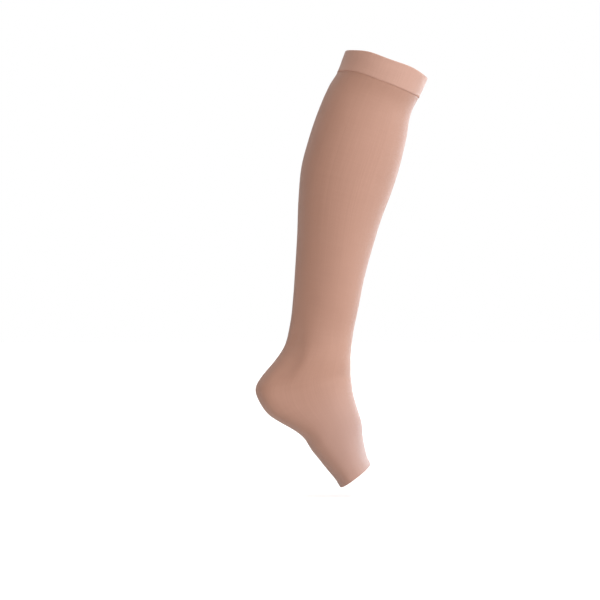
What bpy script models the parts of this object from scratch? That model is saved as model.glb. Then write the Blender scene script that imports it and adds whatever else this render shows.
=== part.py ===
"""A knee-high compression stocking with an open toe, in the form that it has when it is worn.

The leg leans forward and its heel is raised. The stocking is hollow and open at both ends.
The tables are in millimetres and degrees, and the model is in metres. The origin is the middle
of the top edge, where the leg holds the stocking up. +X points forward, +Z up, and -Y to the
outer side of a right leg.
"""

from math import cos, exp, pi, radians, remainder, sin
from typing import NamedTuple

import bmesh
import bpy
from mathutils import Vector

MM = 0.001

# ---------------------------------------------------------------- driving sizes, millimetres

KNIT_WALL = 1.2  # the knitted cloth of the leg and foot
BAND_WALL = 1.9  # the band is knitted double, so it stands out from the knit below it
SEAM_GAP = 0.3  # between two pieces
RIM_ROW = 1.2  # how near a piece's rim its next ring lies, so that both sides of a seam match
ROUND = 48  # points in a ring
SIDE = Vector((0.0, 1.0, 0.0))


class Section(NamedTuple):
    """One ring round the leg or foot, from its back (or sole) to its front (or instep)."""

    place: str
    middle_x: float
    middle_z: float
    tilt: float  # how far the front is turned up, degrees
    depth: float  # from back to front
    outer: float  # half width on the outer side
    inner: float  # half width on the inner side
    widest: float  # where the ring is widest: -1 is the back and 1 the front
    back_square: float  # 2 is round, more is squarer
    front_square: float
    ridge: float  # how far the front is moved to the inner side
    arch: float  # how far the inner side of the sole is lifted


SECTIONS = (
    #        place             x       z      tilt   depth  outer inner  widest  back front ridge arch
    Section("top edge",         0.0,    0.0, -19.0,  99.5,  48.0, 48.5,  0.00,  2.1,  2.1,  0.0, 0.0),
    Section("band seam",       -9.6,  -23.0, -17.5,  98.5,  47.5, 48.0,  0.00,  2.1,  2.1,  0.0, 0.0),
    Section("below the knee", -19.2,  -39.5, -18.0,  99.5,  46.5, 48.0,  0.00,  2.1,  2.0,  0.0, 0.0),
    Section("upper calf",     -28.3,  -69.5, -17.5, 107.0,  49.5, 51.0, -0.03,  2.1,  2.0,  0.0, 0.0),
    Section("calf",           -38.3, -104.0, -16.0, 110.5,  52.0, 53.5, -0.06,  2.1,  1.95, 0.0, 0.0),
    Section("full calf",      -47.4, -136.0, -15.0, 108.5,  51.5, 54.5, -0.08,  2.1,  1.9,  0.0, 0.0),
    Section("under the calf", -55.3, -171.5, -13.5,  98.5,  47.5, 51.0, -0.08,  2.1,  1.9,  0.0, 0.0),
    Section("half leg",       -61.0, -206.8, -12.0,  89.0,  41.5, 45.0, -0.05,  2.1,  1.9,  0.0, 0.0),
    Section("lower leg",      -66.8, -242.8, -11.0,  81.2,  36.0, 38.0,  0.00,  2.0,  2.0,  0.0, 0.0),
    Section("above ankle",    -71.6, -279.4, -10.0,  76.4,  31.5, 32.5,  0.04,  1.9,  2.1,  0.0, 0.0),
    Section("ankle",          -76.4, -309.5,  -9.5,  73.4,  29.0, 29.5,  0.06,  1.9,  2.2,  0.0, 0.0),
    Section("ankle bones",    -80.7, -332.2,  -4.3,  76.7,  30.0, 30.5,  0.12,  1.9,  2.2,  0.0, 0.0),
    Section("heel top",       -87.0, -347.0,   1.5,  87.3,  32.0, 33.0,  0.12,  1.9,  2.2,  0.0, 0.0),
    Section("upper heel",     -97.7, -367.4,   9.4, 111.2,  31.5, 32.0,  0.13,  2.2,  2.1,  0.0, 0.0),
    Section("heel",           -98.4, -376.4,  12.0, 112.4,  30.5, 31.0,  0.11,  2.5,  2.1,  1.0, 0.0),
    Section("heel round",     -91.1, -393.9,  18.4, 104.0,  30.5, 31.0,  0.06,  2.8,  2.2,  2.0, 0.0),
    Section("heel sole",      -83.2, -403.4,  22.0,  91.8,  31.0, 31.5,  0.00,  2.7,  2.3,  3.0, 1.0),
    Section("instep",         -67.7, -419.5,  27.2,  71.4,  31.5, 32.0, -0.10,  2.5,  2.5,  4.0, 3.0),
    Section("arch",           -59.0, -437.4,  29.2,  66.0,  33.5, 34.0, -0.12,  2.5,  2.6,  5.0, 4.0),
    Section("fore arch",      -51.4, -454.3,  31.0,  53.7,  37.0, 38.0, -0.10,  2.5,  2.5,  6.5, 3.0),
    Section("ball",           -42.5, -473.2,  32.5,  44.0,  41.0, 42.5, -0.08,  2.5,  2.4,  8.0, 1.0),
    Section("toe edge",       -36.6, -484.4,  36.0,  42.5,  42.5, 44.5, -0.08,  2.5,  2.3,  8.0, 0.0),
)


class Swell(NamedTuple):
    """A soft rise or hollow of the worn cloth."""

    place: str
    down: float  # along the leg from the top edge
    turn: float  # round the leg from the back, over the outer side, degrees
    length: float
    breadth: float  # degrees
    height: float  # below zero it is a hollow


SWELLS = (
    Swell("outer ankle", 350.0, 79.0, 20.0, 26.0, 1.2),
    Swell("inner ankle", 345.0, 252.0, 17.0, 26.0, 3.0),
    Swell("outer hollow behind the ankle", 338.0, 38.0, 24.0, 17.0, -2.2),
    Swell("inner hollow behind the ankle", 338.0, 318.0, 25.0, 18.0, -1.9),
    Swell("outer hollow above the heel", 371.0, 55.0, 17.0, 15.0, -2.1),
    Swell("inner hollow above the heel", 366.0, 302.0, 16.0, 16.0, -1.6),
    Swell("outer heel", 397.0, 42.0, 16.0, 17.0, 2.6),
    Swell("inner heel", 396.0, 317.0, 16.0, 18.0, 2.3),
    Swell("outer hollow under the ankle", 402.0, 78.0, 14.0, 16.0, -1.1),
)


class Lift(NamedTuple):
    """A place where the cloth is drawn up the leg, so that an edge runs higher there."""

    place: str
    down: float
    turn: float
    length: float
    breadth: float
    height: float


LIFTS = (
    Lift("top edge, outer back", 0.0, 62.0, 16.0, 24.0, 2.6),
    Lift("top edge, outer front", 0.0, 118.0, 16.0, 34.0, 2.6),
    Lift("top edge, inner side", 0.0, 278.0, 16.0, 42.0, 1.6),
    Lift("band seam, outer back", 25.0, 56.0, 14.0, 25.0, 2.4),
    Lift("band seam, outer front", 25.0, 140.0, 14.0, 30.0, -1.2),
    Lift("band seam, inner back", 25.0, 308.0, 14.0, 26.0, 1.3),
)


class Piece(NamedTuple):
    """One knitted piece, from one section to another."""

    name: str
    start: str
    end: str
    rings: int
    wall: float
    edge: float  # the radius of its rounded rims, or 0
    colour: tuple
    roughness: float


SAND = (0.50, 0.275, 0.198, 1.0)
PALE_SAND = (0.55, 0.312, 0.235, 1.0)

PIECES = (
    Piece("top_band", "top edge", "band seam", 5, BAND_WALL, 0.5, PALE_SAND, 0.85),
    Piece("upper_calf", "band seam", "calf", 9, KNIT_WALL, 0.0, SAND, 0.8),
    Piece("lower_calf", "calf", "half leg", 11, KNIT_WALL, 0.0, SAND, 0.8),
    Piece("ankle_tube", "half leg", "ankle bones", 12, KNIT_WALL, 0.0, SAND, 0.8),
    Piece("heel_pocket", "ankle bones", "instep", 18, KNIT_WALL, 0.0, SAND, 0.8),
    Piece("foot_tube", "instep", "toe edge", 8, KNIT_WALL, 0.0, SAND, 0.8),
)

# ---------------------------------------------------------------- the leg's surface


def distances():
    """How far down the leg's middle line each section lies."""
    found = [0.0]
    for above, below in zip(SECTIONS, SECTIONS[1:]):
        step = Vector((below.middle_x - above.middle_x, below.middle_z - above.middle_z))
        found.append(found[-1] + step.length)
    return found


DOWN = distances()


def down_to(place):
    """The distance of a named section."""
    return DOWN[[section.place for section in SECTIONS].index(place)]


def slope(column, row):
    """How fast a column changes at a row, from its neighbours on both sides."""
    before, after = max(row - 1, 0), min(row + 1, len(SECTIONS) - 1)
    return (SECTIONS[after][column] - SECTIONS[before][column]) / (DOWN[after] - DOWN[before])


def section_at(down):
    """The section at any distance, read from a smooth curve through the table."""
    row = max(i for i in range(len(DOWN) - 1) if DOWN[i] <= down or i == 0)
    span = DOWN[row + 1] - DOWN[row]
    part = (down - DOWN[row]) / span
    values = [SECTIONS[row].place]
    for column in range(1, len(Section._fields)):
        values.append(
            SECTIONS[row][column] * (2 * part**3 - 3 * part**2 + 1)
            + SECTIONS[row + 1][column] * (3 * part**2 - 2 * part**3)
            + slope(column, row) * span * (part**3 - 2 * part**2 + part)
            + slope(column, row + 1) * span * (part**3 - part**2)
        )
    return Section(*values)


def raised(places, down, turn):
    """The sum of soft bumps at a place, each a swell or a lift."""
    total = 0.0
    for bump in places:
        along = (down - bump.down) / bump.length
        around = remainder(turn - radians(bump.turn), 2 * pi) / radians(bump.breadth)
        total += bump.height * exp(-(along**2) - around**2)
    return total


def point_on_leg(down, turn, shift=0.0):
    """A point of the leg's surface. Turn goes from the back over the outer side to the front."""
    ring = section_at(down)
    forward = Vector((cos(radians(ring.tilt)), 0.0, sin(radians(ring.tilt))))
    onward = Vector((forward.z, 0.0, -forward.x))
    front_share = (1 - cos(turn)) / 2
    square = ring.back_square + (ring.front_square - ring.back_square) * front_share
    reach = -abs(cos(turn)) ** (2 / square) * (1 if cos(turn) > 0 else -1)
    spread = abs(sin(turn)) ** (2 / square)
    reach += ring.widest * (1 - reach**2)
    outer_side = turn < pi
    out = raised(SWELLS, down, turn)
    along_leg = shift - raised(LIFTS, down, turn)
    along_depth = reach * (ring.depth / 2) - cos(turn) * out
    if not outer_side:
        along_depth += ring.arch * 2.6 * max(cos(turn), 0.0) * sin(turn) ** 2
    half_width = (ring.outer if outer_side else ring.inner) + out
    sideways = spread * half_width * (-1 if outer_side else 1) + ring.ridge * front_share**2
    middle = Vector((ring.middle_x, 0.0, ring.middle_z))
    return (middle + forward * along_depth + SIDE * sideways + onward * along_leg) * MM


# ---------------------------------------------------------------- the pieces


def material(piece):
    """The piece's own matt knit."""
    made = bpy.data.materials.new(piece.name)
    made.use_nodes = True
    shader = made.node_tree.nodes["Principled BSDF"]
    shader.inputs["Base Color"].default_value = piece.colour
    shader.inputs["Roughness"].default_value = piece.roughness
    shader.inputs["Metallic"].default_value = 0.0
    return made


def ring_place(row, rings, length):
    """How far a row of the grid lies from the piece's start, with a row close to each rim."""
    if row in (0, rings):
        return length * row / rings
    return RIM_ROW + (length - 2 * RIM_ROW) * (row - 1) / (rings - 2)


def knitted_piece(piece, collection):
    """A flat grid that is wrapped round the leg, joined at the back and given its wall outwards."""
    first, last = down_to(piece.start), down_to(piece.end)
    half_gap = SEAM_GAP / 2
    mesh_builder = bmesh.new()
    bmesh.ops.create_grid(mesh_builder, x_segments=ROUND, y_segments=piece.rings, size=0.5)
    for vertex in mesh_builder.verts:
        turn = 2 * pi * (0.5 - vertex.co.x)
        part = 0.5 - vertex.co.y
        shift = half_gap * (1 - 2 * part)
        if piece.start == SECTIONS[0].place:
            shift = -half_gap * part
        if piece.end == SECTIONS[-1].place:
            shift = half_gap * (1 - part)
        down = first + ring_place(round(part * piece.rings), piece.rings, last - first)
        vertex.co = point_on_leg(down, turn, shift)
    bmesh.ops.remove_doubles(mesh_builder, verts=mesh_builder.verts, dist=0.01 * MM)
    mesh = bpy.data.meshes.new(piece.name)
    mesh_builder.to_mesh(mesh)
    mesh_builder.free()
    mesh.shade_smooth()

    knitted = bpy.data.objects.new(piece.name, mesh)
    collection.objects.link(knitted)
    knitted.data.materials.append(material(piece))
    wall = knitted.modifiers.new("wall", "SOLIDIFY")
    wall.thickness = piece.wall * MM
    wall.offset = -1.0
    if piece.edge:
        rounded = knitted.modifiers.new("rounded rims", "BEVEL")
        rounded.width = piece.edge * MM
        rounded.segments = 2
        rounded.limit_method = "ANGLE"
        rounded.angle_limit = radians(60)
    return knitted


def main():
    """Makes every piece in a collection of its own."""
    for old in list(bpy.data.objects):
        bpy.data.objects.remove(old, do_unlink=True)
    bpy.context.scene.unit_settings.system = "METRIC"
    bpy.context.scene.unit_settings.scale_length = 1.0
    stocking = bpy.data.collections.new("compression_stocking")
    bpy.context.scene.collection.children.link(stocking)
    for piece in PIECES:
        knitted_piece(piece, stocking)


main()
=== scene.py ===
"""The looks of a knee-high compression stocking with an open toe, in its worn form.

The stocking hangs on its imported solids: a knitted leg and foot in one piece, a doubled band at the
top and the stitches that link the two. The tables are in millimetres and degrees, and the model
is in metres. The origin is the middle of the top edge. +X points forward, +Z up, and -Y to the
outer side of a right leg.
"""

from functools import lru_cache
from math import cos, exp, hypot, pi, radians, remainder, sin
from typing import NamedTuple

import bmesh
import bpy
from bpy.props import FloatProperty, FloatVectorProperty, IntProperty, PointerProperty
from mathutils import Matrix, Vector, noise


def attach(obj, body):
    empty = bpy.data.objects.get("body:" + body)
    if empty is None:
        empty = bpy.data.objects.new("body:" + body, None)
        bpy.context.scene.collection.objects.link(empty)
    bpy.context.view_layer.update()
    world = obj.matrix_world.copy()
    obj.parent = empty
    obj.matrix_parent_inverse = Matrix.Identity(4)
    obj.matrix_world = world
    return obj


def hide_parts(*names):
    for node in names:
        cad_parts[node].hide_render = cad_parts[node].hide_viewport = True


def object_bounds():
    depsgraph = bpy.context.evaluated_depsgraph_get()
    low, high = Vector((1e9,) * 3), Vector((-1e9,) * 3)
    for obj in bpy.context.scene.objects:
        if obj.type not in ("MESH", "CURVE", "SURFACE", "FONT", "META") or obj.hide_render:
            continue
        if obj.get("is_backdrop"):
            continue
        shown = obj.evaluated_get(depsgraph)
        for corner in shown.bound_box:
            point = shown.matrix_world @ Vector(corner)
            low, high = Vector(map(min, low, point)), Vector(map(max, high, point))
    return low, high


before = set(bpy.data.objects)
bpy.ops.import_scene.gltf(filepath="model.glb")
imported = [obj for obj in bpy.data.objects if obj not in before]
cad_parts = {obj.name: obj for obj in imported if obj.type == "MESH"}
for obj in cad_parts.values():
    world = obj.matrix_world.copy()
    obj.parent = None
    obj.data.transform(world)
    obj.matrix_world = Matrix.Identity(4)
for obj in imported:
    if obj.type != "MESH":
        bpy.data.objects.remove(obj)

bl_info = {
    "name": "Compression Stocking",
    "version": (1, 0, 0),
    "blender": (4, 5, 0),
    "location": "3D View > Sidebar > Stocking",
    "description": "Knits an open-toe compression stocking in its worn form",
    "category": "Mesh",
}

MM = 0.001
BODY = "root"
SIDE = Vector((0.0, 1.0, 0.0))
WELD = 0.01 * MM  # vertices nearer than this are one

# ---------------------------------------------------------------- the leg's surface


class Section(NamedTuple):
    """One ring round the leg or foot, from its back (or sole) to its front (or instep)."""

    place: str
    middle_x: float
    middle_z: float
    tilt: float  # how far the front is turned up, degrees
    depth: float  # from back to front
    outer: float  # half width on the outer side
    inner: float  # half width on the inner side
    widest: float  # where the ring is widest: -1 is the back and 1 the front
    back_square: float  # 2 is round, more is squarer
    front_square: float
    ridge: float  # how far the front is moved to the inner side
    arch: float  # how far the inner side of the sole is lifted


SECTIONS = (
    #        place             x       z      tilt   depth  outer inner widest back front ridge arch
    Section("top edge",         0.0,    0.0, -19.0,  99.5,  48.0, 48.5,  0.00, 2.1, 2.1,  0.0, 0.0),
    Section("band seam",       -9.6,  -23.0, -17.5,  98.5,  47.5, 48.0,  0.00, 2.1, 2.1,  0.0, 0.0),
    Section("below the knee", -19.2,  -39.5, -18.0,  99.5,  46.5, 48.0,  0.00, 2.1, 2.0,  0.0, 0.0),
    Section("upper calf",     -28.3,  -69.5, -17.5, 107.0,  49.5, 51.0, -0.03, 2.1, 2.0,  0.0, 0.0),
    Section("calf",           -38.3, -104.0, -16.0, 110.5,  52.0, 53.5, -0.06, 2.1, 1.95, 0.0, 0.0),
    Section("full calf",      -47.4, -136.0, -15.0, 108.5,  51.5, 54.5, -0.08, 2.1, 1.9,  0.0, 0.0),
    Section("under the calf", -55.3, -171.5, -13.5,  98.5,  47.5, 51.0, -0.08, 2.1, 1.9,  0.0, 0.0),
    Section("half leg",       -61.0, -206.8, -12.0,  89.0,  41.5, 45.0, -0.05, 2.1, 1.9,  0.0, 0.0),
    Section("lower leg",      -66.8, -242.8, -11.0,  81.2,  36.0, 38.0,  0.00, 2.0, 2.0,  0.0, 0.0),
    Section("above ankle",    -71.6, -279.4, -10.0,  76.4,  31.5, 32.5,  0.04, 1.9, 2.1,  0.0, 0.0),
    Section("ankle",          -76.4, -309.5,  -9.5,  73.4,  29.0, 29.5,  0.06, 1.9, 2.2,  0.0, 0.0),
    Section("ankle bones",    -80.7, -332.2,  -4.3,  76.7,  30.0, 30.5,  0.12, 1.9, 2.2,  0.0, 0.0),
    Section("heel top",       -87.0, -347.0,   1.5,  87.3,  32.0, 33.0,  0.12, 1.9, 2.2,  0.0, 0.0),
    Section("upper heel",     -97.7, -367.4,   9.4, 111.2,  31.5, 32.0,  0.13, 2.2, 2.1,  0.0, 0.0),
    Section("heel",           -98.4, -376.4,  12.0, 112.4,  30.5, 31.0,  0.11, 2.5, 2.1,  1.0, 0.0),
    Section("heel round",     -91.1, -393.9,  18.4, 104.0,  30.5, 31.0,  0.06, 2.8, 2.2,  2.0, 0.0),
    Section("heel sole",      -83.2, -403.4,  22.0,  91.8,  31.0, 31.5,  0.00, 2.7, 2.3,  3.0, 1.0),
    Section("instep",         -67.7, -419.5,  27.2,  71.4,  31.5, 32.0, -0.10, 2.5, 2.5,  4.0, 3.0),
    Section("arch",           -59.0, -437.4,  29.2,  66.0,  33.5, 34.0, -0.12, 2.5, 2.6,  5.0, 4.0),
    Section("fore arch",      -51.4, -454.3,  31.0,  53.7,  37.0, 38.0, -0.10, 2.5, 2.5,  6.5, 3.0),
    Section("ball",           -42.5, -473.2,  32.5,  44.0,  41.0, 42.5, -0.08, 2.5, 2.4,  8.0, 1.0),
    Section("toe edge",       -36.6, -484.4,  36.0,  42.5,  42.5, 44.5, -0.08, 2.5, 2.3,  8.0, 0.0),
)


class Swell(NamedTuple):
    """A soft rise or hollow of the worn cloth."""

    place: str
    down: float  # along the leg from the top edge
    turn: float  # round the leg from the back, over the outer side, degrees
    length: float
    breadth: float  # degrees
    height: float  # below zero it is a hollow


SWELLS = (
    Swell("outer ankle", 350.0, 79.0, 20.0, 26.0, 1.2),
    Swell("inner ankle", 345.0, 252.0, 17.0, 26.0, 3.0),
    Swell("outer hollow behind the ankle", 338.0, 38.0, 24.0, 17.0, -2.2),
    Swell("inner hollow behind the ankle", 338.0, 318.0, 25.0, 18.0, -1.9),
    Swell("outer hollow above the heel", 371.0, 55.0, 17.0, 15.0, -2.1),
    Swell("inner hollow above the heel", 366.0, 302.0, 16.0, 16.0, -1.6),
    Swell("outer heel", 397.0, 42.0, 16.0, 17.0, 2.6),
    Swell("inner heel", 396.0, 317.0, 16.0, 18.0, 2.3),
    Swell("outer hollow under the ankle", 402.0, 78.0, 14.0, 16.0, -1.1),
)


class Lift(NamedTuple):
    """A place where the cloth is drawn up the leg, so that an edge runs higher there."""

    place: str
    down: float
    turn: float
    length: float
    breadth: float
    height: float


LIFTS = (
    Lift("top edge, outer back", 0.0, 62.0, 16.0, 24.0, 2.6),
    Lift("top edge, outer front", 0.0, 118.0, 16.0, 34.0, 2.6),
    Lift("top edge, inner side", 0.0, 278.0, 16.0, 42.0, 1.6),
    Lift("band seam, outer back", 25.0, 56.0, 14.0, 25.0, 2.4),
    Lift("band seam, outer front", 25.0, 140.0, 14.0, 30.0, -1.2),
    Lift("band seam, inner back", 25.0, 308.0, 14.0, 26.0, 1.3),
)


class Crease(NamedTuple):
    """A soft trough or ridge of the cloth, with a low rise on either side of it."""

    place: str
    down: float  # its middle, along the leg from the top edge
    turn: float  # its middle, round the leg from the back, degrees
    lean: float  # 0 runs round the leg, 90 down it
    length: float
    width: float
    height: float  # below zero it is a trough
    bend: float  # how far its ends curl down the leg


CREASES = (
    #       place                                down   turn   lean length width height bend
    Crease("behind the knee, upper",             36.0,   12.0,   8.0,  58.0,  6.5, -0.26,  3.0),
    Crease("behind the knee, lower",             50.0,  350.0,  -6.0,  44.0,  7.5, -0.24,  2.0),
    Crease("behind the knee, short",             61.0,   24.0,  14.0,  26.0,  6.0, -0.18, -1.5),
    Crease("below the band, outer back",         37.0,   64.0,  78.0,  21.0,  5.5, -0.22,  1.0),
    Crease("below the band, outer",              35.0,  101.0,  96.0,  16.0,  4.5, -0.16,  0.0),
    Crease("below the band, outer front",        39.0,  122.0,  84.0,  25.0,  6.0, -0.14,  1.5),
    Crease("below the band, rise over the shin", 42.0,  152.0,   0.0, 104.0, 13.0,  0.95,  0.0),
    Crease("below the band, inner front",        36.0,  214.0, 101.0,  18.0,  5.0, -0.20,  0.0),
    Crease("below the band, inner",              40.0,  262.0,  88.0,  27.0,  6.0, -0.24, -1.5),
    Crease("below the band, inner back",         35.0,  301.0,  80.0,  17.0,  4.5, -0.18,  0.0),
    Crease("behind the outer ankle, trough",    361.0,   56.0,  79.0,  58.0,  6.0, -0.35,  0.0),
    Crease("behind the outer ankle, ridge",     362.0,   73.0,  79.0,  72.0,  6.5,  0.60,  0.0),
    Crease("behind the inner ankle, ridge",     358.0,  290.0, 101.0,  64.0,  6.5,  0.45,  0.0),
    Crease("above the heel, upper",             340.0,  357.0,   4.0,  30.0,  6.0, -0.35,  2.0),
    Crease("above the heel, middle",            350.0,    8.0,  -5.0,  42.0,  5.5, -0.50,  3.0),
    Crease("above the heel, lower",             359.0,  352.0,   7.0,  34.0,  6.0, -0.40,  2.0),
    Crease("outer side, above the heel",        366.0,   41.0,  36.0,  27.0,  5.0, -0.35,  2.0),
    Crease("inner side, above the heel",        363.0,  318.0, -31.0,  31.0,  5.5, -0.40, -2.0),
    Crease("under the outer ankle, long",       413.0,   80.0,  16.0,  19.0,  4.0, -0.40,  1.5),
    Crease("under the outer ankle, ridge",      433.0,  105.0,   3.0,  11.0,  2.4,  0.42,  1.2),
    Crease("outer foot, ridge",                 447.5,   88.0,  -4.0,  13.0,  2.6,  0.34,  1.0),
    Crease("outer foot, short",                 424.0,   97.0,  11.0,  14.0,  3.6, -0.26,  1.0),
    Crease("under the inner ankle, long",       409.0,  276.0, -18.0,  24.0,  4.4, -0.45, -1.5),
    Crease("under the inner ankle, short",      422.0,  262.0,  -7.0,  15.0,  3.6, -0.34, -1.0),
    Crease("inner foot, ridge",                 440.0,  270.0,   5.0,  12.0,  2.8,  0.34,  1.0),
    Crease("front of the ankle",                379.0,  180.0,   0.0,  66.0,  9.0, -0.50,  0.0),
    Crease("bend of the instep, outer",         386.0,  148.0,  14.0,  24.0,  6.5, -0.10,  3.0),
    Crease("bend of the instep, inner",         395.0,  210.0,  -8.0,  30.0,  6.0, -0.22,  2.5),
    Crease("sole, drawn flat at the arch",      445.0,    0.0,   0.0,  80.0, 11.0,  0.95,  0.0),
    Crease("sole, drawn flat at the ball",      490.0,    0.0,   0.0,  92.0, 22.0,  1.45,  0.0),
    Crease("toe edge, outer",                   509.0,  118.0,  84.0,  13.0,  4.0, -0.18,  0.0),
    Crease("toe edge, top",                     508.0,  176.0,  97.0,  15.0,  4.5, -0.20,  0.0),
    Crease("toe edge, inner",                   510.0,  231.0,  88.0,  12.0,  4.0, -0.18,  0.0),
    Crease("toe edge, sole",                    508.0,   19.0,  92.0,  14.0,  4.5, -0.22,  0.0),
)

CREASE_REACH = 3  # how many widths beside its line a crease is still felt
CREASE_SHOULDER = 0.55  # how strong the low rise beside a crease is
ARCH_PEAK = 2.6  # brings the highest point of the arch's curve to 1
KNIT_WALL = 0.9  # how thick the knit is; its inner side lies on the leg's surface
UNEVEN_HEIGHT = 0.16  # how far the cloth's own slow unevenness rises and falls
UNEVEN_SPAN = 26.0  # how wide one such rise is


def distances():
    """How far down the leg's middle line each section lies."""
    found = [0.0]
    for above, below in zip(SECTIONS, SECTIONS[1:]):
        step = Vector((below.middle_x - above.middle_x, below.middle_z - above.middle_z))
        found.append(found[-1] + step.length)
    return found


DOWN = distances()


def down_to(place):
    """The distance of a named section."""
    return DOWN[[section.place for section in SECTIONS].index(place)]


BAND_SEAM = down_to("band seam")
TOE_EDGE = down_to("toe edge")


def slope(column, row):
    """How fast a column changes at a row, from its neighbours on both sides."""
    before, after = max(row - 1, 0), min(row + 1, len(SECTIONS) - 1)
    return (SECTIONS[after][column] - SECTIONS[before][column]) / (DOWN[after] - DOWN[before])


@lru_cache(maxsize=None)
def section_at(down):
    """The section at any distance, read from a smooth curve through the table."""
    row = max(i for i in range(len(DOWN) - 1) if DOWN[i] <= down or i == 0)
    span = DOWN[row + 1] - DOWN[row]
    part = (down - DOWN[row]) / span
    values = [SECTIONS[row].place]
    for column in range(1, len(Section._fields)):
        values.append(
            SECTIONS[row][column] * (2 * part**3 - 3 * part**2 + 1)
            + SECTIONS[row + 1][column] * (3 * part**2 - 2 * part**3)
            + slope(column, row) * span * (part**3 - 2 * part**2 + part)
            + slope(column, row + 1) * span * (part**3 - part**2)
        )
    return Section(*values)


@lru_cache(maxsize=None)
def girth_radius(down):
    """The radius of a circle about as long round as the section."""
    ring = section_at(down)
    return (ring.depth + ring.outer + ring.inner) / 4


def raised(places, down, turn):
    """The sum of soft bumps at a place, each a swell or a lift."""
    total = 0.0
    for bump in places:
        along = (down - bump.down) / bump.length
        around = remainder(turn - radians(bump.turn), 2 * pi) / radians(bump.breadth)
        total += bump.height * exp(-(along**2) - around**2)
    return total


def creasing(down, turn):
    """How far the creases move the cloth out at a place."""
    total = 0.0
    for crease in CREASES:
        below = down - crease.down
        if abs(below) > crease.length / 2 + CREASE_REACH * crease.width:
            continue
        angle = remainder(turn - radians(crease.turn), 2 * pi)
        beside = angle * girth_radius(crease.down)
        lean = radians(crease.lean)
        along = (beside * cos(lean) + below * sin(lean)) / (crease.length / 2)
        if abs(along) >= 1:
            continue
        across = (below * cos(lean) - beside * sin(lean) - crease.bend * along**2) / crease.width
        fading = (1 - along**2) ** 2
        profile = (1 - CREASE_SHOULDER * across**2) * exp(-(across**2))
        total += crease.height * fading * profile
    return total


def point_on_leg(down, turn, proud=0.0, shift=0.0):
    """A point over the leg's surface. Turn goes from the back over the outer side to the front."""
    ring = section_at(down)
    forward = Vector((cos(radians(ring.tilt)), 0.0, sin(radians(ring.tilt))))
    onward = Vector((forward.z, 0.0, -forward.x))
    front_share = (1 - cos(turn)) / 2
    square = ring.back_square + (ring.front_square - ring.back_square) * front_share
    reach = -abs(cos(turn)) ** (2 / square) * (1 if cos(turn) > 0 else -1)
    spread = abs(sin(turn)) ** (2 / square)
    reach += ring.widest * (1 - reach**2)
    outer_side = turn < pi
    out = proud + raised(SWELLS, down, turn)
    along_leg = shift - raised(LIFTS, down, turn)
    along_depth = reach * (ring.depth / 2) - cos(turn) * out
    if not outer_side:
        along_depth += ring.arch * ARCH_PEAK * max(cos(turn), 0.0) * sin(turn) ** 2
    half_width = (ring.outer if outer_side else ring.inner) + out
    sideways = spread * half_width * (-1 if outer_side else 1) + ring.ridge * front_share**2
    middle = Vector((ring.middle_x, 0.0, ring.middle_z))
    return (middle + forward * along_depth + SIDE * sideways + onward * along_leg) * MM


def unevenness(down, turn):
    """The cloth's own slow rise and fall at a place."""
    return UNEVEN_HEIGHT * noise.noise(point_on_leg(down, turn) / (UNEVEN_SPAN * MM))


# ---------------------------------------------------------------- the settings of the pieces

WALES = 376  # columns of stitches round the leg
COURSES = 790  # rows of stitches from the band to the toes


class LegSettings(bpy.types.PropertyGroup):
    """The knitted leg and foot."""

    around: IntProperty(name="Around", description="Faces round the cage", default=80, min=24)
    along: IntProperty(name="Along", description="Faces down the cage", default=122, min=24)
    wales: IntProperty(
        name="Wales", description="Columns of stitches round the leg", default=WALES
    )
    courses: IntProperty(
        name="Courses", description="Rows of stitches down the leg", default=COURSES
    )
    relief: FloatProperty(
        name="Relief",
        description="Height of a stitch",
        default=0.11 * MM,
        unit="LENGTH",
        precision=6,
    )
    colour: FloatVectorProperty(
        name="Colour",
        description="Sand-coloured yarn",
        default=(0.535, 0.279, 0.195),
        subtype="COLOR",
        min=0.0,
        max=1.0,
    )


class BandSettings(bpy.types.PropertyGroup):
    """The doubled band at the top."""

    around: IntProperty(name="Around", description="Faces round the cage", default=96, min=24)
    wales: IntProperty(
        name="Wales", description="Columns of stitches round the band", default=WALES
    )
    course_pitch: FloatProperty(
        name="Course pitch",
        description="Height of a row of stitches",
        default=0.62 * MM,
        unit="LENGTH",
        precision=6,
    )
    relief: FloatProperty(
        name="Relief",
        description="Height of a stitch",
        default=0.10 * MM,
        unit="LENGTH",
        precision=6,
    )
    colour: FloatVectorProperty(
        name="Colour",
        description="Pale sand-coloured yarn",
        default=(0.642, 0.366, 0.277),
        subtype="COLOR",
        min=0.0,
        max=1.0,
    )


class StitchSettings(bpy.types.PropertyGroup):
    """The stitches that link the band to the leg."""

    count: IntProperty(name="Count", description="Stitches round the seam", default=188, min=12)
    yarn: FloatProperty(
        name="Yarn",
        description="Thickness of the yarn",
        default=0.28 * MM,
        unit="LENGTH",
        precision=6,
    )
    colour: FloatVectorProperty(
        name="Colour",
        description="Linking yarn",
        default=(0.68, 0.385, 0.285),
        subtype="COLOR",
        min=0.0,
        max=1.0,
    )


class StudioSettings(bpy.types.PropertyGroup):
    """The floor, the light and the camera."""

    distance: FloatProperty(
        name="Distance",
        description="Camera to the stocking's middle",
        default=2.5,
        unit="LENGTH",
    )
    view_width: FloatProperty(
        name="View width",
        description="Width seen at the stocking",
        default=0.708,
        unit="LENGTH",
    )
    floor_drop: FloatProperty(
        name="Floor drop",
        description="The bare toes' room below",
        default=0.0115,
        unit="LENGTH",
    )
    dome: FloatProperty(name="Dome", description="Strength of the light all round", default=1.0)
    dome_slope: FloatProperty(
        name="Dome slope", description="How much brighter the front side is", default=1.0
    )
    key: FloatProperty(
        name="Key",
        description="The large lamp at the outer front",
        default=16.0,
        unit="POWER",
    )
    rim: FloatProperty(
        name="Rim",
        description="The lamp at the inner front, which lights the edge",
        default=22.0,
        unit="POWER",
    )


# ---------------------------------------------------------------- node helpers


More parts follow.
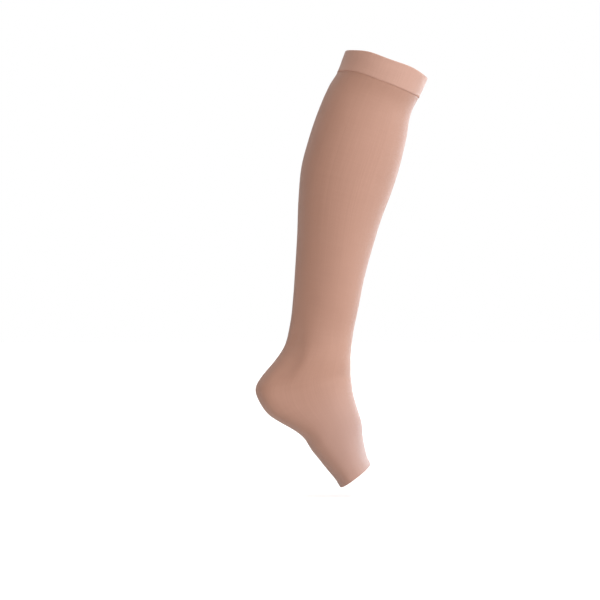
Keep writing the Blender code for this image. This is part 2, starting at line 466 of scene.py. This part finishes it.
def joined(tree, socket, value):
    """Links an output to a socket, or sets a plain value on it."""
    if isinstance(value, bpy.types.NodeSocket):
        tree.links.new(value, socket)
    else:
        socket.default_value = value


def maths(tree, operation, *values):
    """A maths node's result."""
    node = tree.nodes.new("ShaderNodeMath")
    node.operation = operation
    for socket, value in zip(node.inputs, values):
        joined(tree, socket, value)
    return node.outputs[0]


def blended(tree, share, first, second):
    """A colour between two, by a share from 0 to 1."""
    node = tree.nodes.new("ShaderNodeMix")
    node.data_type = "RGBA"
    for name, value in (("Factor_Float", share), ("A_Color", first), ("B_Color", second)):
        joined(tree, next(s for s in node.inputs if s.identifier == name), value)
    return next(s for s in node.outputs if s.identifier == "Result_Color")


def clouds(tree, vector, detail):
    """A soft noise from 0 to 1, with patches about as wide as one unit of its place."""
    node = tree.nodes.new("ShaderNodeTexNoise")
    joined(tree, node.inputs["Vector"], vector)
    node.inputs["Scale"].default_value = 1.0
    node.inputs["Detail"].default_value = detail
    return node.outputs["Fac"]


def group_of(name, inputs, outputs):
    """An empty shader node group with its named sockets, and its two end nodes."""
    tree = bpy.data.node_groups.new(name, "ShaderNodeTree")
    for socket, kind, value in inputs:
        made = tree.interface.new_socket(socket, in_out="INPUT", socket_type=kind)
        if value is not None:
            made.default_value = value
    for socket in outputs:
        tree.interface.new_socket(socket, in_out="OUTPUT", socket_type="NodeSocketFloat")
    return tree, tree.nodes.new("NodeGroupInput").outputs, tree.nodes.new("NodeGroupOutput").inputs


def placed_group(tree, name, place, **values):
    """A group's outputs in a material, with its own values."""
    node = tree.nodes.new("ShaderNodeGroup")
    node.node_tree = bpy.data.node_groups[name]
    joined(tree, node.inputs["Place"], place)
    for socket, value in values.items():
        joined(tree, node.inputs[socket], value)
    return node.outputs


# ---------------------------------------------------------------- shader groups

LEG_SLANT = 0.9  # how many rows each half of a stitch climbs
BAND_SLANT = 0.7
CREST_LEAST = 0.25  # the square of what is left of a stitch's height between two rows
PURL_ARC = 0.24  # how far the arcs on the knit's back swing, in rows
STREAKS = 62.0  # how fine the yarn's streaks are, round the leg
STREAK_RUN = 2.0  # how often a streak changes down the cloth
LEG_BARS = 210.0  # how fine the bars are, down the cloth
BAND_BARS = 26.0
BAR_RUN = 0.8  # how often a bar changes round the leg
CLOUDS_ROUND = 1.1  # how fine the soft clouds are, round the leg and down it
CLOUDS_DOWN = 5.0
DETAIL = 3.0  # how many finer layers a noise has
BAR_DETAIL = 2.0
STRETCH_AND_SHEEN_START = 0.70  # shares of the way from the band to the toes, where the opened knit's paler tone and the painted sheen begin
STRETCH_AND_SHEEN_FULL = 0.97


def stitch_group():
    """Rows of V-shaped stitches on a place that runs from 0 to 1 round and down the cloth."""
    tree, given, result = group_of(
        "stitches",
        (
            ("Place", "NodeSocketVector", None),
            ("Wales", "NodeSocketFloat", float(WALES)),
            ("Courses", "NodeSocketFloat", float(COURSES)),
            ("Slant", "NodeSocketFloat", LEG_SLANT),
        ),
        ("Height", "Gap"),
    )
    split = tree.nodes.new("ShaderNodeSeparateXYZ")
    joined(tree, split.inputs[0], given["Place"])
    across = maths(tree, "FRACT", maths(tree, "MULTIPLY", split.outputs["X"], given["Wales"]))
    from_centre = maths(tree, "ABSOLUTE", maths(tree, "SUBTRACT", across, 0.5))
    aside = maths(tree, "MULTIPLY", from_centre, 2.0)
    rows = maths(tree, "MULTIPLY", split.outputs["Y"], given["Courses"])
    leg = maths(tree, "FRACT", maths(tree, "MULTIPLY_ADD", aside, given["Slant"], rows))
    from_middle = maths(tree, "MULTIPLY_ADD", aside, 2.0, -1.0)
    roundness = maths(tree, "SUBTRACT", 1.0, maths(tree, "POWER", from_middle, 2.0))
    from_crest = maths(tree, "MULTIPLY_ADD", leg, 2.0, -1.0)
    crest = maths(tree, "SUBTRACT", 1.0, maths(tree, "POWER", from_crest, 2.0))
    kept = maths(tree, "MULTIPLY_ADD", crest, 1 - CREST_LEAST, CREST_LEAST)
    height = maths(tree, "MULTIPLY", maths(tree, "SQRT", roundness), maths(tree, "SQRT", kept))
    joined(tree, result["Height"], height)
    # the gap is the mask of the painted shade between the stitches
    joined(tree, result["Gap"], maths(tree, "SUBTRACT", 1.0, height))


def purl_group():
    """The back of the knit: interlocked arcs that run round the cloth."""
    tree, given, result = group_of(
        "purl",
        (
            ("Place", "NodeSocketVector", None),
            ("Wales", "NodeSocketFloat", float(WALES)),
            ("Courses", "NodeSocketFloat", float(COURSES)),
        ),
        ("Height", "Gap"),
    )
    split = tree.nodes.new("ShaderNodeSeparateXYZ")
    joined(tree, split.inputs[0], given["Place"])
    columns = maths(tree, "MULTIPLY", split.outputs["X"], given["Wales"])
    angle = maths(tree, "MULTIPLY", columns, 2 * pi)
    wave = maths(tree, "MULTIPLY", maths(tree, "COSINE", angle), PURL_ARC)
    rows = maths(tree, "MULTIPLY_ADD", split.outputs["Y"], given["Courses"], wave)
    from_crest = maths(tree, "MULTIPLY_ADD", maths(tree, "FRACT", rows), 2.0, -1.0)
    crest = maths(tree, "SUBTRACT", 1.0, maths(tree, "POWER", from_crest, 2.0))
    height = maths(tree, "SQRT", crest)
    joined(tree, result["Height"], height)
    # the gap is the mask of the painted shade between the arcs
    joined(tree, result["Gap"], maths(tree, "SUBTRACT", 1.0, height))


def yarn_group():
    """The yarn's own unevenness: streaks down the wales, bars along the courses, and clouds."""
    tree, given, result = group_of(
        "yarn",
        (
            ("Place", "NodeSocketVector", None),
            ("Streaks", "NodeSocketFloat", STREAKS),
            ("Bars", "NodeSocketFloat", LEG_BARS),
        ),
        ("Streak", "Bar", "Cloud"),
    )
    split = tree.nodes.new("ShaderNodeSeparateXYZ")
    joined(tree, split.inputs[0], given["Place"])
    angle = maths(tree, "MULTIPLY", split.outputs["X"], 2 * pi)

    def cloth_noise(radius, height, detail):
        """A noise on a cylinder of this size, so that it closes at the back."""
        merged = tree.nodes.new("ShaderNodeCombineXYZ")
        for axis, operation in (("X", "COSINE"), ("Y", "SINE")):
            circle = maths(tree, operation, angle)
            joined(tree, merged.inputs[axis], maths(tree, "MULTIPLY", circle, radius))
        joined(tree, merged.inputs["Z"], maths(tree, "MULTIPLY", split.outputs["Y"], height))
        return clouds(tree, merged.outputs[0], detail)

    joined(tree, result["Streak"], cloth_noise(given["Streaks"], STREAK_RUN, DETAIL))
    joined(tree, result["Bar"], cloth_noise(BAR_RUN, given["Bars"], BAR_DETAIL))
    joined(tree, result["Cloud"], cloth_noise(CLOUDS_ROUND, CLOUDS_DOWN, DETAIL))


def stretch_and_sheen_group():
    """How far the knit is opened, and how strong the painted sheen on its lit front is: most over
    the top of the foot, nearest the toes.
    """
    tree, given, result = group_of("stretch_and_sheen", (("Place", "NodeSocketVector", None),), ("Share",))
    split = tree.nodes.new("ShaderNodeSeparateXYZ")
    joined(tree, split.inputs[0], given["Place"])
    angle = maths(tree, "MULTIPLY", split.outputs["X"], 2 * pi)
    front = maths(tree, "MULTIPLY_ADD", maths(tree, "COSINE", angle), -0.5, 0.5)
    foot = tree.nodes.new("ShaderNodeMapRange")
    foot.interpolation_type = "SMOOTHSTEP"
    joined(tree, foot.inputs["Value"], split.outputs["Y"])
    foot.inputs["From Min"].default_value = STRETCH_AND_SHEEN_START
    foot.inputs["From Max"].default_value = STRETCH_AND_SHEEN_FULL
    joined(tree, result["Share"], maths(tree, "MULTIPLY", front, foot.outputs["Result"]))


def shader_groups():
    """Builds each shader node group once."""
    stitch_group()
    stretch_and_sheen_group()
    purl_group()
    yarn_group()


# ---------------------------------------------------------------- materials

STRETCHED_AND_SHEEN_COLOUR = (0.478, 0.298, 0.257, 1.0)  # the knit opened over the forefoot, paler partly by its own tone and partly by painted sheen
DARK_SHARES = (0.80, 0.76, 0.74)  # the yarn's darkest tone, as shares of its colour
LIGHT_SHARES = (1.10, 1.12, 1.13)
PAINTED_GAP_SHADE = 0.32  # how much darker the gaps between the stitches are painted: painted shade
ROUGHNESS = 0.70
TONE_GLOSS = 0.12  # how much smoother the light tones are
SHEEN_TINT = (1.0, 0.94, 0.93, 1.0)
TONE = 0.66  # the knit's middle tone, from dark at 0 to light at 1
STREAK_SHARE = 0.52  # how far each unevenness moves the tone
BAR_SHARE = 0.18
CLOUD_SHARE = 0.35
LINKING_TONE = 0.62
LINKING_RELIEF = 0.06  # height of the linking yarn's twist
TWISTS = 6.0  # turns of the twist round the leg, on top of one for each stitch


def shaded_colour(colour, shares):
    """A colour made darker or lighter, each channel by its own share."""
    return (*(min(channel * share, 1.0) for channel, share in zip(colour, shares)), 1.0)


def cloth_material(name, colour, finish, stretched_and_sheen=None):
    """A matt yarn material; finish gives it its relief and returns its height, gap and tone, and the
    gaps are painted darker as painted shade.

    Where the share is high, the knit is opened over the skin and looks paler and pinker, partly by
    its own tone and partly by a painted sheen on the lit front of the foot.
    """
    material = bpy.data.materials.new(name)
    material.use_nodes = True
    tree = material.node_tree
    shader = tree.nodes["Principled BSDF"]
    place = tree.nodes.new("ShaderNodeUVMap")
    place.uv_map = "cloth"
    relief, height, gap, tone = finish(tree, place.outputs["UV"])
    dark, light = shaded_colour(colour, DARK_SHARES), shaded_colour(colour, LIGHT_SHARES)
    toned = blended(tree, tone, dark, light)
    # painted sheen: the front of the foot, which faces the lamps, is painted paler and pinker,
    # together with the opened knit's own tone
    if stretched_and_sheen:
        toned = blended(tree, stretched_and_sheen(tree, place.outputs["UV"]), toned, STRETCHED_AND_SHEEN_COLOUR)
    # painted shade: the gaps between the stitches and the twist of the linking yarn are painted
    # darker, towards the yarn's darkest tone
    shaded = blended(tree, maths(tree, "MULTIPLY", gap, PAINTED_GAP_SHADE), toned, dark)
    joined(tree, shader.inputs["Base Color"], shaded)
    roughness = maths(tree, "MULTIPLY_ADD", tone, -TONE_GLOSS, ROUGHNESS)
    joined(tree, shader.inputs["Roughness"], roughness)
    shader.inputs["Specular IOR Level"].default_value = 0.8
    shader.inputs["Sheen Weight"].default_value = 0.5
    shader.inputs["Sheen Roughness"].default_value = 0.45
    shader.inputs["Sheen Tint"].default_value = SHEEN_TINT
    bump = tree.nodes.new("ShaderNodeBump")
    bump.inputs["Distance"].default_value = relief
    joined(tree, bump.inputs["Height"], height)
    joined(tree, shader.inputs["Normal"], bump.outputs["Normal"])
    return material


def toned_yarn(tree, place, bars):
    """The knit's tone, moved about its middle by the yarn's unevenness."""
    yarn = placed_group(tree, "yarn", place, Streaks=STREAKS, Bars=bars)
    tone = TONE
    for output, share in (("Streak", STREAK_SHARE), ("Bar", BAR_SHARE), ("Cloud", CLOUD_SHARE)):
        tone = maths(tree, "MULTIPLY_ADD", maths(tree, "SUBTRACT", yarn[output], 0.5), share, tone)
    return tone


def leg_material(leg):
    """The right side of the fine knit."""

    def finish(tree, place):
        rows = {"Wales": float(leg.wales), "Courses": float(leg.courses)}
        knit = placed_group(tree, "stitches", place, Slant=LEG_SLANT, **rows)
        return leg.relief, knit["Height"], knit["Gap"], toned_yarn(tree, place, LEG_BARS)

    # the share of the opened knit's tone and of the painted sheen over the front of the foot
    def stretched_and_sheen(tree, place):
        return placed_group(tree, "stretch_and_sheen", place)["Share"]

    return cloth_material("leg_knit", leg.colour, finish, stretched_and_sheen)


def leg_inside_material(leg):
    """The back of the fine knit, which shows inside."""

    def finish(tree, place):
        rows = {"Wales": float(leg.wales), "Courses": float(leg.courses)}
        knit = placed_group(tree, "purl", place, **rows)
        return leg.relief, knit["Height"], knit["Gap"], toned_yarn(tree, place, LEG_BARS)

    return cloth_material("leg_knit_inside", leg.colour, finish)


def band_material(band, courses):
    """The closer, paler knit of the band, with its rows of elastic."""

    def finish(tree, place):
        rows = {"Wales": float(band.wales), "Courses": float(courses)}
        knit = placed_group(tree, "stitches", place, Slant=BAND_SLANT, **rows)
        return band.relief, knit["Height"], knit["Gap"], toned_yarn(tree, place, BAND_BARS)

    return cloth_material("band_knit", band.colour, finish)


def yarn_material(stitch):
    """The linking yarn, with its twist."""

    def finish(tree, place):
        split = tree.nodes.new("ShaderNodeSeparateXYZ")
        joined(tree, split.inputs[0], place)
        turns = maths(tree, "MULTIPLY_ADD", split.outputs["X"], TWISTS, split.outputs["Y"])
        height = maths(tree, "MULTIPLY", maths(tree, "PINGPONG", turns, 0.5), 2.0)
        # the grooves of the twist are painted darker through the gap: painted shade
        return LINKING_RELIEF * MM, height, maths(tree, "SUBTRACT", 1.0, height), LINKING_TONE

    return cloth_material("linking_yarn", stitch.colour, finish)


# ---------------------------------------------------------------- making pieces


def settings(context):
    """The four groups of settings."""
    scene = context.scene
    return scene.stocking_leg, scene.stocking_band, scene.stocking_stitch, scene.stocking_studio


def piece_from(mesh_builder, name, *materials):
    """An object at the origin from a finished bmesh, shaded smooth."""
    mesh = bpy.data.meshes.new(name)
    mesh_builder.to_mesh(mesh)
    mesh_builder.free()
    mesh.shade_smooth()
    for material in materials:
        mesh.materials.append(material)
    piece = bpy.data.objects.new(name, mesh)
    bpy.context.scene.collection.objects.link(piece)
    return piece


def smoothed(piece, levels):
    """Gives a piece its last subdivision."""
    surface = piece.modifiers.new("smooth cloth", "SUBSURF")
    surface.levels = levels
    surface.render_levels = levels
    surface.uv_smooth = "NONE"


def cloth_grid(around, along):
    """A flat grid with a UV map that runs from 0 to 1 round the leg and down it."""
    mesh_builder = bmesh.new()
    mesh_builder.loops.layers.uv.new("cloth")
    bmesh.ops.create_grid(
        mesh_builder, x_segments=around, y_segments=along, size=0.5, calc_uvs=True
    )
    return mesh_builder


def wrapped(mesh_builder, point_at):
    """Moves each vertex of a flat grid to its place round the leg, and closes it at the back."""
    cloth = mesh_builder.loops.layers.uv["cloth"]
    for face in mesh_builder.faces:
        for loop in face.loops:
            flat = loop.vert.co
            loop[cloth].uv = (0.5 + flat.x, 0.5 - flat.y)
    for vertex in mesh_builder.verts:
        vertex.co = point_at(0.5 - vertex.co.y, 2 * pi * (0.5 + vertex.co.x))
    bmesh.ops.remove_doubles(mesh_builder, verts=mesh_builder.verts, dist=WELD)


# ---------------------------------------------------------------- the leg and foot

LEG_TUCK = 1.3  # how far the leg's top goes up between the band's two layers
TOE_HEM = 7.0  # the hem of the toe opening
TOE_HEM_PROUD = 0.28
TOE_HEM_STEP = 1.2  # how far its edge takes to rise
NIP_DEPTH = 0.05  # how far the band's edge nips the leg in
NIP_LENGTH = 3.0
ROWS_AT_BAND = (-LEG_TUCK, -0.8, -0.1, 0.7, 1.7, 3.2)  # below the band's seam
ROWS_AT_TOES = (TOE_HEM + TOE_HEM_STEP, TOE_HEM, TOE_HEM - TOE_HEM_STEP, TOE_HEM / 2, 2.2, 0.7, 0.0)


def leg_rows(along):
    """Distances of the cage's rings: even ones, with close ones at the rims and the hem."""
    near_band = [BAND_SEAM + below for below in ROWS_AT_BAND]
    near_toes = [TOE_EDGE - above for above in ROWS_AT_TOES]
    even = along - len(near_band) - len(near_toes) + 1
    start, end = near_band[-1], near_toes[0]
    between = [start + (end - start) * (i + 1) / (even + 1) for i in range(even)]
    return near_band + between + near_toes


def eased(value):
    """0 below 0, 1 above 1 and a smooth rise between."""
    held = min(max(value, 0.0), 1.0)
    return held * held * (3 - 2 * held)


def leg_relief(down):
    """The hem at the toes stands out a little, and the band's edge nips the leg in."""
    hem = TOE_HEM_PROUD * eased((down - (TOE_EDGE - TOE_HEM)) / TOE_HEM_STEP + 0.5)
    nip = NIP_DEPTH * exp(-(((down - BAND_SEAM) / NIP_LENGTH) ** 2))
    return hem - nip


def leg_piece(leg):
    """One knitted tube from the band to the toes, which turns at the heel."""
    rows = leg_rows(leg.along)

    def point_at(part, turn):
        down = rows[round(part * (len(rows) - 1))]
        out = KNIT_WALL + leg_relief(down) + creasing(down, turn) + unevenness(down, turn)
        return point_on_leg(down, turn, out)

    mesh_builder = cloth_grid(leg.around, len(rows) - 1)
    wrapped(mesh_builder, point_at)
    span = rows[-1] - rows[0]
    cloth = mesh_builder.loops.layers.uv["cloth"]
    for face in mesh_builder.faces:
        for loop in face.loops:
            row = round(loop[cloth].uv.y * (len(rows) - 1))
            loop[cloth].uv.y = (rows[row] - rows[0]) / span
    piece = piece_from(mesh_builder, "leg_knit", leg_material(leg), leg_inside_material(leg))
    wall = piece.modifiers.new("wall", "SOLIDIFY")
    wall.thickness = KNIT_WALL * MM
    wall.offset = -1.0
    wall.material_offset = 1
    wall.material_offset_rim = 0
    smoothed(piece, 1)
    return piece


class STOCKING_OT_leg(bpy.types.Operator):
    """Knits the leg and foot in one piece."""

    bl_idname = "stocking.leg"
    bl_label = "Leg and Foot"
    bl_options = {"REGISTER", "UNDO"}

    def execute(self, context):
        leg = settings(context)[0]
        piece = leg_piece(leg)
        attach(piece, BODY)
        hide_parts("upper_calf", "lower_calf", "ankle_tube", "heel_pocket", "foot_tube")
        return {"FINISHED"}


# ---------------------------------------------------------------- the band


class Turn(NamedTuple):
    """One row of the band's closed profile."""

    down: float
    proud: float  # from the outside of the knit below the band


BAND_PROFILE = (
    # the outer layer, from the fold at the top to the lip
    Turn(0.00, -0.30),
    Turn(0.10, 0.20),
    Turn(0.55, 0.52),
    Turn(1.60, 0.66),
    Turn(4.00, 0.60),
    Turn(7.50, 0.62),
    Turn(11.5, 0.70),
    Turn(15.5, 0.60),
    Turn(19.0, 0.50),
    Turn(21.2, 0.44),
    Turn(22.6, 0.49),
    Turn(23.6, 0.47),
    Turn(24.4, 0.36),
    Turn(25.1, 0.21),
    Turn(25.5, 0.09),
    # under the lip and up into the groove that takes the leg
    Turn(25.0, 0.06),
    Turn(24.2, 0.04),
    Turn(23.3, 0.02),
    Turn(23.1, -0.55),
    Turn(23.3, -1.10),
    Turn(24.2, -1.12),
    Turn(25.0, -1.16),
    # the inner layer, from its lower edge back up to the fold
    Turn(25.2, -1.45),
    Turn(24.6, -1.72),
    Turn(23.0, -1.60),
    Turn(20.0, -1.36),
    Turn(15.5, -1.30),
    Turn(10.0, -1.30),
    Turn(4.50, -1.30),
    Turn(1.50, -1.28),
    Turn(0.40, -1.05),
)
FOLD_WAVE = 0.28  # how far the top fold rises and falls round the leg
FOLD_WAVES = ((3, 0.7, 1.0), (7, 2.1, 0.6))  # how many, from what angle, and how strong
LIP_PROUD = 0.3  # the lip's rows that lie closer than this follow the nipped leg


def profile_lengths():
    """How far along the closed profile each of its rows lies."""
    found = [0.0]
    for here, there in zip(BAND_PROFILE, BAND_PROFILE[1:] + BAND_PROFILE[:1]):
        found.append(found[-1] + hypot(there.down - here.down, there.proud - here.proud))
    return found


def fold_wave(turn):
    """The uneven run of the top fold round the leg."""
    total = sum(strong * sin(count * turn + start) for count, start, strong in FOLD_WAVES)
    return FOLD_WAVE * total / sum(strong for _, _, strong in FOLD_WAVES)


def band_piece(band):
    """The doubled band: one closed profile led round the leg."""
    lengths = profile_lengths()
    closed = BAND_PROFILE + BAND_PROFILE[:1]
    last = len(BAND_PROFILE)

    def point_at(part, turn):
        row = closed[round(part * last)]
        wave = fold_wave(turn) * max(0.0, 1 - row.down / BAND_SEAM)
        out = KNIT_WALL + row.proud + unevenness(row.down, turn)
        if row.proud < LIP_PROUD and row.down > BAND_SEAM / 2:
            out += leg_relief(row.down)
        return point_on_leg(row.down, turn, out, wave)

    mesh_builder = cloth_grid(band.around, last)
    wrapped(mesh_builder, point_at)
    cloth = mesh_builder.loops.layers.uv["cloth"]
    for face in mesh_builder.faces:
        for loop in face.loops:
            loop[cloth].uv.y = lengths[round(loop[cloth].uv.y * last)] / lengths[-1]
    courses = round(lengths[-1] * MM / band.course_pitch)
    piece = piece_from(mesh_builder, "band_knit", band_material(band, courses))
    smoothed(piece, 1)
    return piece


class STOCKING_OT_band(bpy.types.Operator):
    """Knits the doubled band at the top."""

    bl_idname = "stocking.band"
    bl_label = "Top Band"
    bl_options = {"REGISTER", "UNDO"}

    def execute(self, context):
        band = settings(context)[1]
        piece = band_piece(band)
        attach(piece, BODY)
        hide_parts("top_band")
        return {"FINISHED"}


# ---------------------------------------------------------------- the linking stitches

STITCH_REACH = 0.85  # half the height of a stitch
STITCH_DROP = 0.45  # how far below the seam its middle lies
STITCH_LEAN = 0.7  # how far it leans, as a share of the way to the next
STITCH_PROUD = 0.18  # how far its upper end stands off the leg's knit
STITCH_ARCH = 0.32  # how much further its middle stands off
STITCH_FALL = 0.10  # how much closer its lower end lies
STITCH_TIP = 0.55  # how thick its ends are, as a share of the yarn
STITCH_SIDES = 5
STITCH_STEPS = 6
AHEAD = 0.2  # how far on the next place lies that gives a stitch its direction


def stitch_loop(mesh_builder, cloth, turn, width, yarn):
    """One arched stitch of yarn over the band's lower lip: a thin bent tube."""
    rings = []
    for step in range(STITCH_STEPS + 1):
        share = step / STITCH_STEPS
        lean = (share - 0.5) * width * STITCH_LEAN
        down = BAND_SEAM + STITCH_DROP + (share - 0.5) * 2 * STITCH_REACH
        out = KNIT_WALL + STITCH_PROUD + STITCH_ARCH * sin(pi * share) - STITCH_FALL * share
        middle = point_on_leg(down, turn + lean, out)
        onward = (point_on_leg(down + AHEAD, turn + lean, out) - middle).normalized()
        outward = (point_on_leg(down, turn + lean, out + 1.0) - middle).normalized()
        beside = outward.cross(onward).normalized()
        radius = yarn / 2 * (STITCH_TIP if step in (0, STITCH_STEPS) else 1.0)
        made = bmesh.ops.create_circle(mesh_builder, segments=STITCH_SIDES, radius=radius)
        turned = Matrix((beside, outward, onward)).transposed()
        for vertex in made["verts"]:
            vertex.co = middle + turned @ vertex.co
        rings.append(made["verts"])
    edges = {
        edge
        for ring in rings
        for vertex in ring
        for edge in vertex.link_edges
        if edge.other_vert(vertex) in ring
    }
    for step, (above, below) in enumerate(zip(rings, rings[1:])):
        near = [e for e in edges if e.verts[0] in above or e.verts[0] in below]
        for face in bmesh.ops.bridge_loops(mesh_builder, edges=near)["faces"]:
            for loop in face.loops:
                reached = step + (1 if loop.vert in below else 0)
                loop[cloth].uv = ((turn / (2 * pi)) % 1.0, reached / STITCH_STEPS)
    for ring in (rings[0], rings[-1]):
        bmesh.ops.contextual_create(mesh_builder, geom=ring)


def stitches_piece(stitch):
    """A row of small arched stitches along the band's lower edge."""
    mesh_builder = bmesh.new()
    cloth = mesh_builder.loops.layers.uv.new("cloth")
    pitch = 2 * pi / stitch.count
    for number in range(stitch.count):
        stitch_loop(mesh_builder, cloth, pitch * (number + 0.5), pitch, stitch.yarn)
    bmesh.ops.recalc_face_normals(mesh_builder, faces=mesh_builder.faces)
    return piece_from(mesh_builder, "linking_stitches", yarn_material(stitch))


class STOCKING_OT_stitches(bpy.types.Operator):
    """Links the band to the leg with a row of stitches."""

    bl_idname = "stocking.stitches"
    bl_label = "Linking Stitches"
    bl_options = {"REGISTER", "UNDO"}

    def execute(self, context):
        piece = stitches_piece(settings(context)[2])
        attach(piece, BODY)
        return {"FINISHED"}


# ---------------------------------------------------------------- the studio

STAGE_MIDDLE = Vector((-0.10207, 0.0, -0.2773))  # the point that the camera faces
KEY_AT = Vector((2.25, -1.1, 0.15))  # from the stage's middle
KEY_SIZE = 1.3
RIM_AT = Vector((1.4, 2.2, 0.0))
RIM_SIZE = 1.0
FLOOR_RADIUS = 9.0
FLOOR_SIDES = 96
WHITE = (1.0, 1.0, 1.0, 1.0)
PAPER = (0.88, 0.88, 0.88, 1.0)
DOME_FROM = (0.95, -0.30, -0.05)  # the bright side of the dome: forward and to the outer side
DOME_BRIGHT = (0.97, 0.99, 1.0, 1.0)
DOME_SHADY = (1.0, 0.885, 0.82, 1.0)
LAMPLIGHT = (0.88, 1.0, 1.12)
THROWN_NEAR = (0.78, 0.77, 0.76, 1.0)  # the light that the floor throws back near the foot
THROWN_FAR = (0.55, 0.51, 0.485, 1.0)  # and the light that it throws back further out
NEAR = 0.55  # how far out the floor begins to throw back less light
FAR = 0.85


def shown(tree, seen, lighting, output):
    """Shows one shader to the camera, and lights the pieces with another."""
    rays = tree.nodes.new("ShaderNodeLightPath")
    mixed = tree.nodes.new("ShaderNodeMixShader")
    joined(tree, mixed.inputs[0], rays.outputs["Is Camera Ray"])
    joined(tree, mixed.inputs[1], lighting.outputs[0])
    joined(tree, mixed.inputs[2], seen.outputs[0])
    joined(tree, output.inputs["Surface"], mixed.outputs[0])


def floor_material():
    """White paper, which throws light back up, most of it near the foot."""
    material = bpy.data.materials.new("studio_floor")
    material.use_nodes = True
    tree = material.node_tree
    seen = tree.nodes["Principled BSDF"]
    seen.inputs["Base Color"].default_value = PAPER
    seen.inputs["Roughness"].default_value = 0.9
    seen.inputs["Specular IOR Level"].default_value = 0.0
    seen.inputs["Emission Color"].default_value = WHITE
    seen.inputs["Emission Strength"].default_value = 0.5
    place = tree.nodes.new("ShaderNodeTexCoord")
    away = tree.nodes.new("ShaderNodeVectorMath")
    away.operation = "LENGTH"
    joined(tree, away.inputs[0], place.outputs["Object"])
    far = tree.nodes.new("ShaderNodeMapRange")
    joined(tree, far.inputs["Value"], away.outputs["Value"])
    far.inputs["From Min"].default_value = NEAR
    far.inputs["From Max"].default_value = FAR
    thrown = tree.nodes.new("ShaderNodeBsdfDiffuse")
    colour = blended(tree, far.outputs["Result"], THROWN_NEAR, THROWN_FAR)
    joined(tree, thrown.inputs["Color"], colour)
    shown(tree, seen, thrown, tree.nodes["Material Output"])
    return material


def floor_piece(studio):
    """A wide round floor, as far below the stocking as bare toes would reach."""
    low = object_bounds()[0]
    height = low.z - studio.floor_drop
    mesh_builder = bmesh.new()
    bmesh.ops.create_circle(
        mesh_builder, cap_ends=True, segments=FLOOR_SIDES, radius=FLOOR_RADIUS
    )
    bmesh.ops.translate(mesh_builder, verts=mesh_builder.verts, vec=(0.0, 0.0, height))
    return piece_from(mesh_builder, "studio_floor", floor_material())


def world_light(studio):
    """White behind everything, and a soft dome that is brighter on the stocking's front side."""
    world = bpy.data.worlds.new("studio")
    bpy.context.scene.world = world
    world.use_nodes = True
    tree = world.node_tree
    seen = tree.nodes["Background"]
    seen.inputs["Color"].default_value = WHITE
    lighting = tree.nodes.new("ShaderNodeBackground")
    place = tree.nodes.new("ShaderNodeTexCoord")
    towards = tree.nodes.new("ShaderNodeVectorMath")
    towards.operation = "DOT_PRODUCT"
    joined(tree, towards.inputs[0], place.outputs["Generated"])
    joined(tree, towards.inputs[1], DOME_FROM)
    share = maths(tree, "MULTIPLY_ADD", towards.outputs["Value"], studio.dome_slope, 1.0)
    strength = maths(tree, "MULTIPLY", maths(tree, "MAXIMUM", share, 0.0), studio.dome)
    joined(tree, lighting.inputs["Strength"], strength)
    side = maths(tree, "MULTIPLY_ADD", towards.outputs["Value"], 0.5, 0.5)
    joined(tree, lighting.inputs["Color"], blended(tree, side, DOME_SHADY, DOME_BRIGHT))
    shown(tree, seen, lighting, tree.nodes["World Output"])


def lamp(name, power, size, away):
    """A large soft area lamp that points at the stage's middle."""
    data = bpy.data.lights.new(name, "AREA")
    data.energy = power
    data.color = LAMPLIGHT
    data.shape = "DISK"
    data.size = size
    made = bpy.data.objects.new(name, data)
    bpy.context.scene.collection.objects.link(made)
    made.location = STAGE_MIDDLE + away
    made.rotation_euler = (-away).to_track_quat("-Z", "Y").to_euler()


def camera(studio):
    """A level camera that looks along +Y at the stocking's outer side."""
    data = bpy.data.cameras.new("camera")
    data.sensor_width = 36.0
    data.lens = data.sensor_width * studio.distance / studio.view_width
    made = bpy.data.objects.new("camera", data)
    bpy.context.scene.collection.objects.link(made)
    made.location = (STAGE_MIDDLE.x, -studio.distance, STAGE_MIDDLE.z)
    made.rotation_euler = (radians(90), 0.0, 0.0)
    bpy.context.scene.camera = made


class STOCKING_OT_studio(bpy.types.Operator):
    """Sets the floor, the light and the camera."""

    bl_idname = "stocking.studio"
    bl_label = "Studio"
    bl_options = {"REGISTER", "UNDO"}

    def execute(self, context):
        studio = settings(context)[3]
        floor_piece(studio)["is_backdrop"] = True
        world_light(studio)
        lamp("key", studio.key, KEY_SIZE, KEY_AT)
        lamp("rim", studio.rim, RIM_SIZE, RIM_AT)
        camera(studio)
        context.scene.view_settings.view_transform = "Standard"
        return {"FINISHED"}


class STOCKING_PT_panel(bpy.types.Panel):
    """Lists the pieces in the order in which they are made."""

    bl_label = "Compression Stocking"
    bl_idname = "STOCKING_PT_panel"
    bl_space_type = "VIEW_3D"
    bl_region_type = "UI"
    bl_category = "Stocking"

    def draw(self, context):
        for group, operator in zip(settings(context), OPERATORS):
            box = self.layout.box()
            for name in group.__annotations__:
                box.prop(group, name)
            box.operator(operator.bl_idname)


# ---------------------------------------------------------------- registering and running

SETTINGS = {
    "stocking_leg": LegSettings,
    "stocking_band": BandSettings,
    "stocking_stitch": StitchSettings,
    "stocking_studio": StudioSettings,
}
OPERATORS = (STOCKING_OT_leg, STOCKING_OT_band, STOCKING_OT_stitches, STOCKING_OT_studio)
CLASSES = (*SETTINGS.values(), *OPERATORS, STOCKING_PT_panel)


def register():
    """Registers the classes and hangs the settings on the scene."""
    for made in CLASSES:
        bpy.utils.register_class(made)
    for name, group in SETTINGS.items():
        setattr(bpy.types.Scene, name, PointerProperty(type=group))


def unregister():
    """Takes the settings and the classes away again."""
    for name in SETTINGS:
        delattr(bpy.types.Scene, name)
    for made in reversed(CLASSES):
        bpy.utils.unregister_class(made)


def main():
    """Makes the stocking and its studio."""
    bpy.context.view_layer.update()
    register()
    shader_groups()
    bpy.ops.stocking.leg()
    bpy.ops.stocking.band()
    bpy.ops.stocking.stitches()
    bpy.ops.stocking.studio()
    bpy.context.view_layer.update()


if __name__ == "__main__":
    main()
